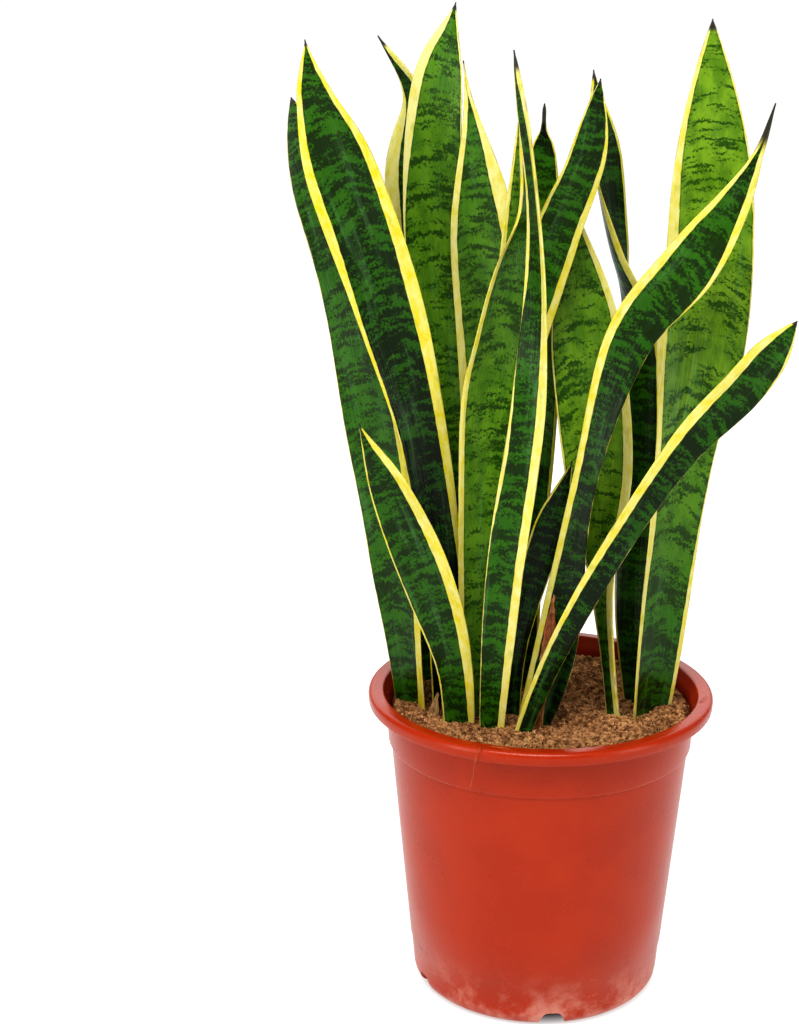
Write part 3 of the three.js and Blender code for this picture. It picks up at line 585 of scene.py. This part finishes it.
# Each leaf: the share of its length that runs out to the point; its stations from foot to point,
# (x, y, z, width, turn, curl) in mm and degrees; the yellow margins' widths at even places along
# it, left and right, in mm; how light the green is, from foot to point; how pale the yellow is; the
# length of the dark dry awl; and, where it changes much, how close the bands stand along it.
LEAVES = {
    "leaf_far_left": dict(
        point=0.15,
        stations=[(-74, -3, FOOT, 23, -45, 40), (-83, 2, 238, 33, -40, 30),
                  (-92.5, 5.5, 305, 39, -33, 22), (-105.5, 10, 375, 35, -26, 18),
                  (-121.2, 14.5, 455, 33.6, -20, 14), (-148, 18, 543, 36.5, -20, 10)],
        left=(0.3, 0.3),
        right=(7, 6.5, 6, 5, 4.3, 3.6, 3.2, 2.8, 2.4, 1.6, 0.8),
        tone=(0.3, 0.45, 0.5, 0.35), pale=0.3, awl=4),
    "leaf_left_broad": dict(
        point=0.2,
        stations=[(-53, -6, FOOT, 26, 8, 40), (-60, -8, 250, 27, 20, 40),
                  (-72, -11, 345, 31, 17, 33), (-93, -14, 430, 41, 5, 24),
                  (-118.5, -17, 505, 41, -5, 15), (-133, -18, 547, 21.5, -5, 12),
                  (-138, -18, 577, 8, -5, 10)],
        left=(0.8, 0.8, 0.8, 0.9, 1.5, 2.8, 5.7, 5, 3.6, 2.3, 1.2),
        right=(1, 1.1, 2.5, 5.2, 6.4, 8, 6.2, 4.4, 3.1, 2.1, 1.2),
        tone=(0.0, 0.1, 0.3, 0.4), pale=0.35, awl=4, beat=(1, 0.85, 0.9, 1, 1.2)),
    "leaf_front_short": dict(
        point=0.3,
        stations=[(-49, -31, FOOT, 18, -10, 25), (-53, -32, 214, 22, -8, 20),
                  (-68, -36, 267, 31, -8, 14), (-89, -42, 321, 26, -8, 10),
                  (-109, -48, 367, 16, -8, 10)],
        left=(0.8, 0.8),
        right=(2.5, 3.5, 5, 6, 6.5, 6.6, 6.5, 6, 5, 3.5, 1.5),
        tone=(0.4, 0.32, 0.3), pale=0.45, awl=3),
    "leaf_tall_centre_left": dict(
        point=0.23,
        stations=[(-50, 24, FOOT, 26, 0, 35), (-54, 24, 268, 28, 0, 25), (-60, 24, 382, 36, -8, 18),
                  (-66, 24, 480, 36, -15, 15), (-64, 24, 550, 31, -15, 15),
                  (-54, 24, 595.5, 15, -15, 10)],
        left=(0.4, 0.4, 0.4, 0.4, 0.4, 0.6, 1.5, 4.6, 6, 4.4, 2),
        right=(0.6, 0.6, 0.7, 1),
        tone=(0.6, 0.78, 0.62), pale=1, awl=5),
    "leaf_back_hooked": dict(
        point=0.3,
        stations=[(-62, 42, FOOT, 24, 0, 30), (-65, 42, 286, 26, 0, 20),
                  (-72, 42, 404, 28, -10, 18), (-78, 40, 492, 35, -20, 15),
                  (-77, 38, 541, 17, -30, 20), (-98.5, 32, 576.5, 8, -30, 10)],
        left=(0.6, 0.6, 0.6, 4, 9, 9, 9, 6, 2, 0.3, 0.3),
        right=(0.6, 0.6, 0.6, 0.6, 0.6, 0.6, 0.6, 1.5, 3, 3, 1.5),
        tone=(0.4, 0.45, 0.2), pale=0.75, awl=8),
    "leaf_back_centre_left": dict(
        point=0.3,
        stations=[(-38, 8, FOOT, 22, 0, 40), (-36, 11, 260, 23, 0, 30), (-34, 11, 368, 32, -8, 20),
                  (-37, 11, 470, 40, -15, 18), (-50, 10, 564, 5, -15, 10)],
        left=(3, 3, 3.5, 4.5, 5.5, 5, 4.3, 4, 3.8, 3, 2),
        right=(5, 5, 5, 6, 6, 7, 8, 9, 9, 3, 0.8),
        tone=(1.0, 0.8, 0.5), pale=0.7, awl=2),
    "leaf_behind_channelled": dict(
        point=0.2,
        stations=[(-34, -13.5, FOOT, 10, 0, 20), (-33.5, -10.5, 240, 9, 0, 15),
                  (-33, -8, 330, 9, 0, 12), (-32, -7.3, 395, 9, 0, 12),
                  (-22.6, -2.6, 452, 13, 0, 15), (-18.5, -0.5, 537, 6, 0, 10)],
        left=(1, 1, 1, 1, 1, 1, 1, 1, 2.8, 1.6, 0.4),
        right=(0.4, 0.4),
        tone=(0.6, 0.8, 0.8), pale=0.5, awl=2),
    "leaf_centre_channelled": dict(
        point=0.25,
        stations=[(-38, -22, FOOT, 22, 5, 40), (-37, -18, 258, 32, 10, 30),
                  (-35, -14, 361, 38, 20, 25), (-30, -13, 409, 36, 28, 25),
                  (-22, -13, 452, 29, 38, 30), (-17.5, -13, 492, 16, 75, 30),
                  (-19, -16, 548, 8, 80, 20)],
        left=(2.5, 3, 3.5, 3.5, 3.5, 3.4, 3, 2.6, 2.2, 1.6, 1),
        right=(2, 2, 2.2, 2.6, 3, 3, 3, 2.5, 2, 1.5, 1),
        tone=(0.75, 0.78, 0.6, 0.3), pale=0.5, awl=4),
    "leaf_front_centre": dict(
        point=0.3,
        stations=[(-33, -39, FOOT, 14, 0, 50), (-25, -39, 272, 23, -10, 35),
                  (-12, -36, 378, 21, -15, 30), (-9, -33, 472, 18.5, -70, 30),
                  (-23.8, -28, 572, 16, -40, 15)],
        left=(0.2, 0.2, 0.3, 0.5, 2.2, 1, 0, 2.6, 2.5, 1, 0.2),
        right=(3.5, 4.4, 5.2, 5.4, 5.4, 5.3, 4.6, 3.8, 3, 2.5, 2),
        tone=(0.38, 0.36, 0.25), pale=0.65, awl=12),
    "leaf_back_centre": dict(
        point=0.06,
        stations=[(-8, 20, FOOT, 22, 0, 35), (-11, 21, 240, 24, 0, 25), (-8.5, 22, 340, 33, 0, 20),
                  (-4, 22, 440, 30, 0, 18), (-3.2, 23, 506, 16.5, 0, 12),
                  (-2.8, 24, 525, 3.5, 0, 10), (-2.6, 24, 539, 2, 0, 10)],
        left=(1.5, 1.5, 1.6, 1.8, 1.8, 1.6, 1.2, 0.8, 0.3, 0.2, 0.2),
        right=(1.5, 1.5, 1.6, 1.8, 1.8, 1.6, 1.2, 0.8, 0.5, 0.2, 0.2),
        tone=(0.1, 0.4, 1.0, 0.1, 0.0), pale=0.4, awl=12),
    "leaf_centre_leaning": dict(
        point=0.22,
        stations=[(-27, -4, FOOT, 20, 0, 35), (-29, -3, 256, 21, 0, 25), (-24, -1, 361, 26, 0, 20),
                  (2, 0, 461, 27.5, 0, 20), (19.8, -2, 510, 22, 0, 15), (26.5, -4, 555, 17, 0, 10)],
        left=(2, 2, 2.5, 2.5, 2.5, 2.3, 2, 1.8, 1.2, 0.8, 0.6),
        right=(3, 3, 3, 4, 4.5, 4.5, 4, 3.3, 2.5, 1, 0.6),
        tone=(0.4, 0.5, 0.15), pale=0.45, awl=4),
    "leaf_back_right_twisted": dict(
        point=0.22,
        stations=[(61, 1, FOOT, 14, 150, 35), (56, 7, 240, 27, 150, 25), (58, 14, 330, 28, 150, 22),
                  (54.5, 19, 400, 30, 140, 30), (38.8, 21, 455, 33, 74, 60),
                  (30, 22, 512, 27.5, 42, 35), (25, 23, 558, 13, 20, 15)],
        left=(2.5, 2.5, 3, 3, 3.5, 4, 4.3, 4, 3.5, 2, 1),
        right=(2.5, 2.5, 2.5, 2, 2, 2, 1.8, 1.6, 1.4, 1.2, 0.8),
        tone=(0.35, 0.35, 0.05), pale=0.4, awl=6),
    "leaf_right_inner": dict(
        point=0.3,
        stations=[(47, -22, FOOT, 12, -50, 30), (37.5, -13, 242, 17, -60, 30),
                  (33, 0, 324, 41, -15, 25), (23.5, 8, 407, 43, -8, 18),
                  (13.5, 12, 485, 27, -5, 10)],
        left=(1.5, 1.5, 1.5, 1.5, 1, 1, 1, 1, 1, 1, 1),
        right=(3, 3.5, 4, 5.5, 6, 6, 5.5, 5, 4, 3, 1.5),
        tone=(0.3, 0.95, 0.7), pale=0.7, awl=3),
    "leaf_arching_right": dict(
        point=0.14,
        stations=[(-14.5, -31, FOOT, 15, -10, 40), (6.5, -30, 222, 27, -20, 35),
                  (20.5, -30, 323, 16, -25, 25), (42.5, -34, 410, 27, -15, 15),
                  (75, -38, 455, 32.5, -5, 10), (98.5, -38, 491, 19.5, 0, 10),
                  (111.5, -36, 518, 5.5, 0, 10), (119.5, -34, 544, 3, 0, 10)],
        left=(3, 3, 3.5, 4, 4.5, 5, 4, 3, 1.6, 1.2, 0.8),
        right=(0, 0, 0, 0, 0, 0.5, 3, 4.5, 3.5, 1.5, 1),
        tone=(0.0, 0.2, 0.4, 0.05), pale=0.5, awl=26),
    "leaf_front_right_low": dict(
        point=0.13,
        stations=[(-22, -43, FOOT, 8, 0, 40), (3.5, -46, 225, 13.5, 0, 25),
                  (36, -52, 293, 16, 0, 20), (72.5, -60, 355, 19.5, 0, 12),
                  (103.7, -68, 393, 24.5, 0, 10), (130, -74, 431, 17, 0, 5)],
        left=(1.5, 1.8, 2.3, 3, 4, 5, 5.3, 5.5, 5.5, 4.5, 2.5),
        right=(0, 0, 0, 0, 0, 0, 0, 0, 0.3, 1.5, 1.2),
        tone=(0.15, 0.15, 0.4), pale=0.5, awl=3),
    "leaf_right_broad": dict(
        point=0.2,
        stations=[(61, -15, FOOT, 34, 42, 40), (70.5, -8, 250, 38, 30, 36),
                  (81.5, -2, 345, 41, 18, 24), (88.7, 1, 400, 54, 6, 18),
                  (92.6, 4, 475, 49.5, 0, 15), (89.5, 8, 587, 42, 0, 10)],
        left=(2, 2.5, 3.5, 5, 3.5, 4.5, 6, 6, 6, 3.2, 1.4),
        right=(2.5, 2.5, 2.5, 1, 0.5, 0.5, 0.5, 0.6, 0.8, 0.9, 0.9),
        tone=(0.25, 0.7, 0.95, 1), pale=0.6, awl=7, beat=(1, 0.8, 0.75, 1.2, 1.9)),
    "leaf_small_inner": dict(
        point=0.3,
        stations=[(-20, -19, FOOT, 12, 0, 30), (-17.5, -20, 212, 13, 0, 20),
                  (-10, -19, 253, 16, 0, 18), (2, -18, 296, 20, 0, 15), (15, -16, 337, 12, 0, 10)],
        left=(1, 1),
        right=(0.5, 0.5),
        tone=(0.05, 0.1, 0.1), pale=0.3, awl=3),
}


def along(values, u):
    """A smooth curve through values at even places, read at u from 0 to 1."""
    values = np.asarray(values, float)
    ends = [2 * values[0] - values[1], 2 * values[-1] - values[-2]]
    last = len(values) - 1
    s = max(0.0, u) * last
    i = min(int(s), last - 1)
    t = s - i
    a = values[i - 1] if i > 0 else ends[0]
    b, c = values[i], values[i + 1]
    d = values[i + 2] if i + 2 <= last else ends[1]
    return b + 0.5 * t * (c - a + t * (2 * a - 5 * b + 4 * c - d + t * (3 * (b - c) + d - a)))


def direction_along(points, u):
    """Unit direction at u of the smooth curve through points, or through stations' places."""
    ahead = along(points, min(1.0, u + LOOK_AHEAD)) - along(points, max(0.0, u - LOOK_AHEAD))
    return Vector(ahead[:3]).normalized()


def blade_width(leaf, u):
    """Width of a blade: its stations' own, run out to the awl over the last stretch."""
    left = min(1.0, (1 - u) / leaf["point"])
    blade = along([s[3] for s in leaf["stations"]], u) * (1 - (1 - left) ** POINT_ROUNDING)
    return max(blade, AWL_WIDTH * min(1.0, AWL_POINT + AWL_TAPER * (1 - u)))


def blade_frame(leaf, u):
    """Middle of the blade at u, the way its upper face looks, the way across it, and its curl."""
    here = along(leaf["stations"], u)
    tangent = direction_along(leaf["stations"], u)
    turn = math.radians(here[4])
    facing = Vector((math.sin(turn), -math.cos(turn), 0))
    facing = (facing - tangent * facing.dot(tangent)).normalized()
    return Vector(here[:3]), facing, tangent.cross(facing), math.radians(here[5])


def blade_rings(leaf, thick_foot, thick_tip, wave_height, sections, strips):
    """Rings round a blade from foot to point, and each ring's u, width and places across, in mm."""
    phase = leaf["stations"][1][0]
    wide, tall, deep = SWELL_SPREAD
    rings, marks = [], []
    for i in range(sections):
        u = 1 - (1 - i / (sections - 1)) ** RING_SPACING
        middle, facing, across, curl = blade_frame(leaf, u)
        width = blade_width(leaf, u)
        radius = width / 2 / curl
        thickness = min(thick_foot + (thick_tip - thick_foot) * u, MOST_THICKNESS * width)
        edge = min(MARGIN_THICKNESS, thickness)
        swing = math.sin(2 * math.pi * (WAVES * u + phase / WAVE_SHIFT))
        swing *= min(1.0, width / WAVE_FULL_WIDTH)
        wave = wave_height * math.sqrt(max(0.0, math.sin(math.pi * u))) * swing
        upper, under, upper_places, under_places = [], [], [], []
        for k in range(strips + 1):
            v = math.sin(math.pi / 2 * (2 * k / strips - 1))
            bend = curl * v
            rounding = max(0.0, 1 - v ** EDGE_ROUNDING) ** 0.5
            half = (thickness + (edge - thickness) * v * v) / 2 * rounding
            centre = middle + across * (radius * math.sin(bend))
            centre = centre + facing * (radius * (1 - math.cos(bend)) + wave * v * abs(v))
            normal = facing * math.cos(bend) - across * math.sin(bend)
            dent = noise.noise(Vector((v * width / wide, middle.z / tall, middle.x / deep + phase)))
            centre = centre + normal * (SWELL * dent)
            upper.append(centre + normal * half)
            upper_places.append(v * width / 2)
            if 0 < k < strips:
                under.append(centre - normal * half)
                under_places.append(v * width / 2)
        rings.append([p * MM for p in upper + under[::-1]])
        marks.append((u, width, upper_places + under_places[::-1]))
    return rings, marks


def closed_blade(name, rings):
    """The closed skin over a blade's rings."""
    mesh, rows = walls(rings)
    mesh.faces.new(rows[0][::-1])
    mesh.faces.new(rows[-1])
    bmesh.ops.recalc_face_normals(mesh, faces=mesh.faces)
    made = object_of(mesh, name)
    made.data.shade_smooth()
    return made


# What is noted at each point of a leaf for its material to read: the place across and along it in
# mm, the place in the bands, how far inside the margin's inner line and the rim it lies in mm, how
# light the green is, how near the awl it is, and how pale the yellow is.
LEAF_NOTES = ("across", "length", "band", "margin", "rim", "tone", "awl", "pale")


def mark_leaf(thing, leaf, rings, marks, number):
    """Notes at each point of a leaf where it lies, one value for each of LEAF_NOTES."""
    middles = np.array([np.mean([tuple(p) for p in ring], axis=0) for ring in rings]) / MM
    run = np.concatenate([[0], np.cumsum(np.linalg.norm(np.diff(middles, axis=0), axis=1))])
    beat = [along(leaf.get("beat", BEAT), u) for u, _, _ in marks]
    shift = PATTERN_SHIFT * number
    beats = np.concatenate([[0], np.cumsum(np.diff(run) * beat[1:])]) + shift
    points = []
    for (u, width, places), distance, banded in zip(marks, run, beats):
        run_out = min(1.0, (run[-1] - distance) / MARGIN_RUN_OUT)
        run_out = max(MARGIN_LEAST, run_out) ** MARGIN_RUN_OUT_CURVE
        left, right = [min(max(0.0, along(leaf[side], u)) * run_out, MARGIN_MOST * width)
                       for side in ("left", "right")]
        tone = along(leaf["tone"], u)
        awl = (run[-1] - distance) / leaf["awl"]
        for place in places:
            from_left, from_right = width / 2 + place, width / 2 - place
            points.append((place, distance + shift, banded,
                           min(from_left - left, from_right - right), min(from_left, from_right),
                           tone, awl, leaf["pale"]))
    for name, values in zip(LEAF_NOTES, zip(*points)):
        attribute = thing.data.attributes.new(name, "FLOAT", "POINT")
        attribute.data.foreach_set("value", np.asarray(values, np.float32))


def leaf_skin():
    """Waxy banded green with yellow margins, laid out by the places noted on each leaf."""
    material, tree, shader = finish("leaf_skin", Specular_IOR_Level=0.32, IOR=1.45)
    across, length, band, margin, rim, tone, awl, pale = [
        node(tree, "ShaderNodeAttribute", attribute_name=name).outputs["Fac"]
        for name in LEAF_NOTES]

    def spread(run, wide, tall, detail, roughness=0.5):
        """Noise over the blade with features wide mm across it and tall mm along the run."""
        place = node(tree, "ShaderNodeCombineXYZ", {0: math_of(tree, "DIVIDE", across, wide),
                                                    1: math_of(tree, "DIVIDE", run, tall)})
        return grain(tree, place.outputs[0], 1.0, detail, roughness)

    def around(value, weight):
        """A noise value's swing about its middle, times a weight."""
        return times(tree, math_of(tree, "SUBTRACT", value, 0.5), weight)

    # Bands: ragged dark streaks across the blade, bowed towards the foot at the margins, drawn out
    # in short teeth along it and broken up by spots.
    bowed = math_of(tree, "MULTIPLY_ADD", times(tree, across, across), BAND_BOW, band)
    swayed = plus(tree, bowed, around(spread(length, 8, 20, 1), 6.0))
    teeth = plus(tree, swayed, around(spread(length, 1.5, 6, 2, 0.65), 5.0))
    streaks = spread(teeth, 15, 3.6, 1)
    clusters = spread(swayed, 34, 15, 1)
    mottle = spread(length, 1.9, 1.5, 2, 0.7)
    level = plus(tree, streaks, around(clusters, 0.55))
    level = plus(tree, level, around(mottle, 0.8))
    level = math_of(tree, "SUBTRACT", level, around(tone, 0.2))
    bands = step(tree, level, 0.43, 0.6)

    # Green, from deep to pale by the leaf's tone, with patches, wax and painted sheen, and a dark
    # line at the margins.
    greens = node(tree, "ShaderNodeValToRGB", {"Fac": tone})
    stops = greens.color_ramp.elements
    stops[0].color, stops[1].color = linear(*GREEN_DEEP), linear(*GREEN_PALE)
    stops.new(0.5).color = linear(*GREEN_MIDDLE)
    patches = times(tree, step(tree, spread(length, 9, 16, 3, 0.6), 0.36, 0.66), 0.5)
    light = mix(tree, patches, greens.outputs[0], linear(*GREEN_PATCH))
    dark = mix(tree, tone, linear(*BAND_DEEP), linear(*BAND_PALE))
    green = mix(tree, bands, light, dark)
    # Pale lengthwise streaks: partly a wax bloom, partly a painted sheen standing in for
    # reflections of the side lights.
    wax_and_sheen = times(tree, step(tree, spread(length, 7, 90, 3, 0.6), 0.52, 0.78), 0.3)
    green = mix(tree, wax_and_sheen, green, linear(*WAX_AND_SHEEN_STREAK))
    shade = times(tree, step(tree, margin, 1.0, 0.1), 0.5)
    green = mix(tree, shade, green, linear(*MARGIN_SHADE))

    # Yellow margins, deep lemon to pale, with a thin brown rim in places.
    gold = spread(length, 4, 9, 3, 0.6)
    share = math_of(tree, "ADD", pale, around(gold, 2.4), clamp=True)
    yellow = mix(tree, share, linear(*YELLOW_DEEP), linear(*YELLOW_PALE))
    fleck = times(tree, step(tree, spread(length, 1.2, 4, 3), 0.64, 0.76), 0.25)
    yellow = mix(tree, fleck, yellow, linear(*YELLOW_FLECK))
    greenish = times(tree, step(tree, spread(length, 5, 12, 2), 0.56, 0.74), 0.35)
    yellow = mix(tree, greenish, yellow, linear(*YELLOW_GREEN))
    edge = plus(tree, margin, around(spread(length, 5, 8, 3), 1.1))
    surface = mix(tree, step(tree, edge, -0.3, 0.3), yellow, green)
    worn = step(tree, spread(length, 8, 18, 2), 0.5, 0.6)
    worn = times(tree, times(tree, worn, step(tree, rim, 0.45, 0.1)), 0.5)
    surface = mix(tree, worn, surface, linear(*RIM_BROWN))
    surface = mix(tree, step(tree, awl, 1.1, 0.7), surface, linear(*AWL_BROWN))
    tree.links.new(surface, shader.inputs["Base Color"])

    gloss = math_of(tree, "MULTIPLY_ADD", spread(length, 7, 60, 3), 0.3, 0.14)
    tree.links.new(gloss, shader.inputs["Roughness"])
    ribs = plus(tree, spread(length, 1.1, 120, 2), times(tree, mottle, 0.25))
    dents = math_of(tree, "MULTIPLY_ADD", spread(length, 9, 34, 2), 3.0, ribs)
    bump(tree, shader, dents, LEAF_UNEVENNESS)
    return material


leaf_look = leaf_skin()
for number, (name, leaf) in enumerate(LEAVES.items()):
    rings, marks = blade_rings(leaf, LEAF_THICK_FOOT, LEAF_THICK_TIP, WAVE_HEIGHT,
                               LEAF_SECTIONS, LEAF_STRIPS)
    blade = closed_blade(name.replace("leaf", "blade"), rings)
    mark_leaf(blade, leaf, rings, marks, number)
    blade.data.materials.append(leaf_look)
    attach(blade, "root")
    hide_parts(name)

# ---------------------------------------------------------------- the dry sheaths
# Brown and straw-coloured papery bracts, dried on the plant, that stand at the leaf bases. Each
# is a thin curled strip with a crinkled surface.

SHEATH_THICKNESS = 1.0
SHEATH_SECTIONS = 60
SHEATH_STRIPS = 12
CRINKLE = 0.7
CRINKLES = 260
CRINKLE_SEED = 1795554616
VEIN_BROWN = (78, 46, 30)
BLOTCH_STRAW = (206, 164, 112)
SHEATH_UNEVENNESS = 0.0008
SHEATHS = {
    "sheath_brown_tall": dict(point=0.4, colour=(150, 92, 56), stations=[
        (-7, -40, 166, 8, 0, 25), (-2, -40.5, 205, 7, 0, 20), (2, -40.5, 240, 7, 0, 15),
        (4, -40.5, 263, 4, 0, 10)]),
    "sheath_straw": dict(point=0.6, colour=(184, 150, 104), stations=[
        (-66, -19, 166, 7, -20, 30), (-65, -19, 180, 7, -20, 25), (-63, -18, 193, 5, -20, 20)]),
    "sheath_brown_short": dict(point=0.6, colour=(122, 78, 52), stations=[
        (-57, -21, 166, 7, 0, 30), (-58, -21, 181, 7, 0, 25), (-59, -20, 195, 5, 0, 20)]),
}


def sheath_paper(name, colour):
    """Matte dry paper with dark lengthwise veins and pale blotches."""
    material, tree, shader = finish(name, Roughness=0.8, Specular_IOR_Level=0.3)
    place = node(tree, "ShaderNodeTexCoord").outputs["Object"]
    drawn = node(tree, "ShaderNodeMapping", {"Vector": place, "Scale": (1, 1, 0.06)}).outputs[0]
    veins = times(tree, step(tree, grain(tree, drawn, 900, 3, 0.6), 0.4, 0.66), 0.6)
    dry = mix(tree, veins, linear(*colour), linear(*VEIN_BROWN))
    blotch = times(tree, step(tree, grain(tree, place, 130, 3), 0.4, 0.65), 0.4)
    dry = mix(tree, blotch, dry, linear(*BLOTCH_STRAW))
    tree.links.new(dry, shader.inputs["Base Color"])
    bump(tree, shader, grain(tree, drawn, 700, 3), SHEATH_UNEVENNESS)
    return material


# Vector noise takes its offsets from the clock unless it is given a seed.
noise.seed_set(CRINKLE_SEED)
for name, sheath in SHEATHS.items():
    rings, _ = blade_rings(sheath, SHEATH_THICKNESS, SHEATH_THICKNESS, 0.0,
                           SHEATH_SECTIONS, SHEATH_STRIPS)
    rings = [[p + noise.noise_vector(p * CRINKLES) * CRINKLE * MM for p in ring] for ring in rings]
    strip = closed_blade(name.replace("sheath", "bract"), rings)
    strip.data.materials.append(sheath_paper(name, sheath["colour"]))
    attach(strip, "root")
    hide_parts(name)

# ---------------------------------------------------------------- the stray roots
# A few thin dry root fibres that have come up out of the soil and hang over the rim. Each has a
# radius and a run of places, in mm, and grows finer towards its end.

ROOT_COLOURS = (150, 84, 44), (206, 140, 84)
ROOT_SIDES = 7
ROOT_SECTIONS = 40
ROOT_TAPER = 0.6
ROOTS = {
    "root_over_front": (0.34, [(-36, -84, 181), (-38, -90, 186), (-39.5, -95, 190.4),
                               (-40.5, -98.5, 191.2), (-42, -98.6, 188), (-43.5, -97.5, 181),
                               (-44.5, -96.5, 172), (-46, -95.5, 164)]),
    "root_front_curl": (0.26, [(-41, -85, 180), (-38, -91, 188), (-33, -95.5, 190.8),
                               (-28, -98, 191), (-24, -99, 190.6)]),
    "root_over_right": (0.3, [(84, -34, 181), (90, -30, 186), (94, -26, 190), (98, -20, 191),
                              (100.5, -16, 190.9)]),
}


def root_strand(name, radius, points):
    """A thin closed tube along a smooth curve through the points."""
    turns = [2 * math.pi * k / ROOT_SIDES for k in range(ROOT_SIDES)]
    rings = []
    for i in range(ROOT_SECTIONS):
        u = i / (ROOT_SECTIONS - 1)
        middle = Vector(along(points, u))
        ahead = direction_along(points, u)
        side = ahead.cross(Vector((0.3, 0.2, 1))).normalized()
        up = side.cross(ahead)
        thick = radius * (1 - ROOT_TAPER * u)
        rings.append([(middle + (side * math.cos(a) + up * math.sin(a)) * thick) * MM
                      for a in turns])
    return closed_blade(name, rings)


root_look = soil_colour("root_fibre", ROOT_COLOURS, 200)
for name, (radius, points) in ROOTS.items():
    root = root_strand(name, radius, points)
    root.data.materials.append(root_look)
    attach(root, "root")

# ---------------------------------------------------------------- floor, light and camera
# A plain white studio floor that runs out of view, a soft white surround, two tall soft lights at
# the sides, a third above and a wide one behind. The camera looks down a little from the front.

FLOOR_SIZE = 30.0
FLOOR_GLOW = 0.64
# Radii, in metres, over which the painted shade under the pot gives way to the floor's glow.
FLOOR_SHADE_EDGE = (0.058, 0.08)
FLOOR_GREY = (0.3, 0.3, 0.3, 1.0)
WHITE = (1.0, 1.0, 1.0, 1.0)
SURROUND_STRENGTH = 0.25
CAMERA_PLACE = (-0.086, -1.140, 0.636)
CAMERA_DOWN = 16.36
CAMERA_LENS = 70.0
LIGHT_TARGET = Vector((0, 0, 0.3))
# Each light: its place, its width and height, all in metres, and its power in watts.
LIGHTS = {
    "soft_left": ((-1.35, -1.0, 0.7), (0.6, 1.6), 9),
    "soft_right": ((1.4, -0.9, 0.7), (0.6, 1.6), 7),
    "soft_top": ((-0.2, -0.9, 1.9), (1.2, 0.8), 22),
    "soft_back": ((0, 2.2, 1.35), (4.5, 1.4), 26),
}

floor_mesh = bmesh.new()
bmesh.ops.create_grid(floor_mesh, x_segments=8, y_segments=8, size=FLOOR_SIZE)
floor = object_of(floor_mesh, "studio_floor")
floor_look, floor_tree, floor_shader = finish("studio_floor", Roughness=0.9, Specular_IOR_Level=0.0,
                                              Base_Color=FLOOR_GREY, Emission_Color=WHITE)
# The floor glows all but under the pot, left dark as painted shade, so that the pot's foot still
# has its own dark line.
floor_place = node(floor_tree, "ShaderNodeTexCoord").outputs["Object"]
floor_reach = node(floor_tree, "ShaderNodeVectorMath", {0: floor_place}, operation="LENGTH")
glow_past_floor_shade = step(floor_tree, floor_reach.outputs["Value"], *FLOOR_SHADE_EDGE)
floor_tree.links.new(times(floor_tree, glow_past_floor_shade, FLOOR_GLOW),
                     floor_shader.inputs["Emission Strength"])
floor.data.materials.append(floor_look)

world = bpy.data.worlds.new("studio")
world.use_nodes = True
surround = world.node_tree.nodes["Background"]
surround.inputs["Color"].default_value = WHITE
surround.inputs["Strength"].default_value = SURROUND_STRENGTH
bpy.context.scene.world = world

for name, (place, size, power) in LIGHTS.items():
    lamp_data = bpy.data.lights.new(name, "AREA")
    lamp_data.shape = "RECTANGLE"
    lamp_data.size, lamp_data.size_y = size
    lamp_data.energy = power
    lamp = bpy.data.objects.new(name, lamp_data)
    lamp.location = place
    lamp.rotation_euler = (LIGHT_TARGET - Vector(place)).to_track_quat("-Z", "Y").to_euler()
    bpy.context.scene.collection.objects.link(lamp)

camera_data = bpy.data.cameras.new("camera")
camera_data.lens = CAMERA_LENS
camera_data.sensor_width = 36.0
camera_data.clip_start = 0.05
camera_data.clip_end = 200.0
camera = bpy.data.objects.new("camera", camera_data)
camera.location = CAMERA_PLACE
camera.rotation_euler = (math.radians(90 - CAMERA_DOWN), 0, 0)
bpy.context.scene.collection.objects.link(camera)
bpy.context.scene.camera = camera
bpy.context.scene.view_settings.view_transform = "Standard"
bpy.context.scene.view_settings.look = "High Contrast"
